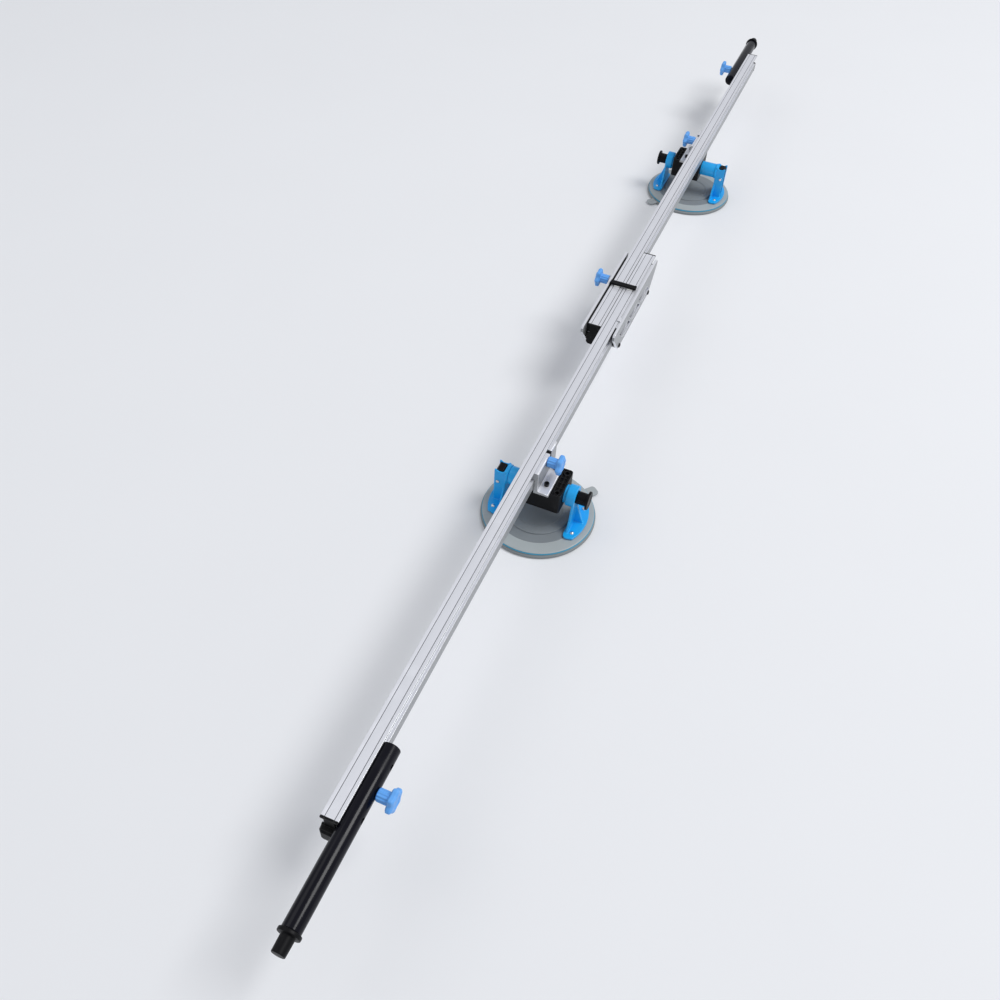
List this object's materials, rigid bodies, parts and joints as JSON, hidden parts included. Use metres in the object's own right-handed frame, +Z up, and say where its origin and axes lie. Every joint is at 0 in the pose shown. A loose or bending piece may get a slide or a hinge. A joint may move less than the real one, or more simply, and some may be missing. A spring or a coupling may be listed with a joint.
{
  "type": "large format tile carrier",
  "caption": "Telescoping aluminium rail carrier for large tiles, with a sliding pump vacuum cup and a grip handle on each half.",
  "frame": {"origin": "midway between the handles' outer ends and between the two rails, on the plane of the pads' lips", "axes": "+X along the rails towards the far end, +Y towards the far rail's side, +Z up from the pads"},
  "size_m": [2.6156, 0.2524, 0.1575],
  "materials": {
    "aluminium": "satin, lightly brushed along its length",
    "azure_plastic": "smooth moulded azure blue",
    "knob_plastic": "smooth moulded periwinkle blue",
    "grey_plastic": "fine matt moulded grey",
    "grey_rubber": "matt grey rubber",
    "black_gloss": "glossy black paint",
    "black_plastic": "matt black moulding",
    "black_steel": "blackened steel",
    "bright_steel": "bright zinc plated steel",
    "white_nylon": "plain white nylon"
  },
  "bodies": {
    "near_half": {"near_rail": "aluminium", "near_rail_inner_cap": "black_plastic", "near_rail_outer_cap": "black_plastic", "bracket_near_cheek": "aluminium", "bracket_far_cheek": "aluminium", "bracket_floor": "aluminium", "bracket_bolt_a": "black_steel", "bracket_bolt_b": "black_steel", "bracket_near_liner": "black_plastic", "bracket_far_liner": "black_plastic", "bracket_pressure_pad": "white_nylon", "bracket_strap": "black_plastic", "bracket_strap_pad": "white_nylon"},
    "far_half": {"far_rail": "aluminium", "far_rail_inner_cap": "black_plastic", "far_rail_outer_cap": "black_plastic"},
    "near_carriage": {"near_cup_pad": "grey_rubber", "near_cup_base": "grey_plastic", "near_cup_ring": "azure_plastic", "near_cup_pump_upright": "azure_plastic", "near_cup_lever_upright": "azure_plastic", "near_cup_tube": "azure_plastic", "near_cup_pump_spring": "bright_steel", "near_cup_lever_pin": "bright_steel", "near_clamp_block": "black_plastic", "near_carriage_bracket": "aluminium", "near_carriage_screw_a": "black_steel", "near_carriage_screw_b": "black_steel", "near_carriage_nut": "bright_steel", "near_carriage_glide": "black_plastic"},
    "near_handle": {"near_handle_tube": "black_gloss", "near_handle_plug": "black_plastic", "near_handle_slide_bar": "aluminium"},
    "near_pump": {"near_cup_pump_plunger": "black_plastic"},
    "near_release": {"near_cup_release_lever": "black_plastic"},
    "near_carriage_star": {"near_carriage_knob": "knob_plastic"},
    "near_handle_star": {"near_handle_knob": "knob_plastic"},
    "far_carriage": {"far_cup_pad": "grey_rubber", "far_cup_base": "grey_plastic", "far_cup_ring": "azure_plastic", "far_cup_pump_upright": "azure_plastic", "far_cup_lever_upright": "azure_plastic", "far_cup_tube": "azure_plastic", "far_cup_pump_spring": "bright_steel", "far_cup_lever_pin": "bright_steel", "far_clamp_block": "black_plastic", "far_carriage_bracket": "aluminium", "far_carriage_screw_a": "black_steel", "far_carriage_screw_b": "black_steel", "far_carriage_nut": "bright_steel", "far_carriage_glide": "black_plastic"},
    "far_handle": {"far_handle_tube": "black_gloss", "far_handle_plug": "black_plastic", "far_handle_slide_bar": "aluminium"},
    "far_pump": {"far_cup_pump_plunger": "black_plastic"},
    "far_release": {"far_cup_release_lever": "black_plastic"},
    "far_carriage_star": {"far_carriage_knob": "knob_plastic"},
    "far_handle_star": {"far_handle_knob": "knob_plastic"},
    "bracket_star": {"bracket_knob": "knob_plastic"}
  },
  "joints": [
    {"name": "rails_telescope", "type": "slide", "parent": "near_half", "child": "far_half", "axis": [1, 0, 0], "range_m": [-0.28, 0.12]},
    {"name": "near_carriage_slide", "type": "slide", "parent": "near_half", "child": "near_carriage", "axis": [1, 0, 0], "range_m": [-0.37, 0.26]},
    {"name": "near_handle_slide", "type": "slide", "parent": "near_half", "child": "near_handle", "axis": [1, 0, 0], "range_m": [0, 0.11]},
    {"name": "near_pump_push", "type": "slide", "parent": "near_carriage", "child": "near_pump", "axis": [0, 1, 0], "range_m": [0, 0.016], "stiffness_N_per_m": 200, "springref_m": -0.015, "deforming": ["near_cup_pump_spring"]},
    {"name": "near_release_tilt", "type": "hinge", "parent": "near_carriage", "child": "near_release", "pos_m": [-0.4745, 0.0493, 0.063], "axis": [-1, 0, 0], "range_deg": [0, 12], "stiffness_Nm_per_rad": 0.1, "springref_deg": -11.46},
    {"name": "near_carriage_star_turn", "type": "hinge", "parent": "near_carriage", "child": "near_carriage_star", "pos_m": [-0.4745, -0.045, 0.1375], "axis": [0, -1, 0], "continuous": true},
    {"name": "near_handle_star_turn", "type": "hinge", "parent": "near_handle", "child": "near_handle_star", "pos_m": [-1.0975, -0.06, 0.1375], "axis": [0, -1, 0], "continuous": true},
    {"name": "far_carriage_slide", "type": "slide", "parent": "far_half", "child": "far_carriage", "axis": [1, 0, 0], "range_m": [-0.2, 0.21]},
    {"name": "far_handle_slide", "type": "slide", "parent": "far_half", "child": "far_handle", "axis": [-1, 0, 0], "range_m": [-0.035, 0.075]},
    {"name": "far_pump_push", "type": "slide", "parent": "far_carriage", "child": "far_pump", "axis": [0, -1, 0], "range_m": [0, 0.016], "stiffness_N_per_m": 200, "springref_m": -0.015, "deforming": ["far_cup_pump_spring"]},
    {"name": "far_release_tilt", "type": "hinge", "parent": "far_carriage", "child": "far_release", "pos_m": [0.6755, -0.0493, 0.063], "axis": [1, 0, 0], "range_deg": [0, 12], "stiffness_Nm_per_rad": 0.1, "springref_deg": -11.46},
    {"name": "far_carriage_star_turn", "type": "hinge", "parent": "far_carriage", "child": "far_carriage_star", "pos_m": [0.6755, 0.045, 0.1375], "axis": [0, 1, 0], "continuous": true},
    {"name": "far_handle_star_turn", "type": "hinge", "parent": "far_handle", "child": "far_handle_star", "pos_m": [1.0975, 0.06, 0.1375], "axis": [0, 1, 0], "continuous": true},
    {"name": "bracket_star_turn", "type": "hinge", "parent": "near_half", "child": "bracket_star", "pos_m": [0.0475, 0.05, 0.1375], "axis": [0, 1, 0], "continuous": true}
  ]
}
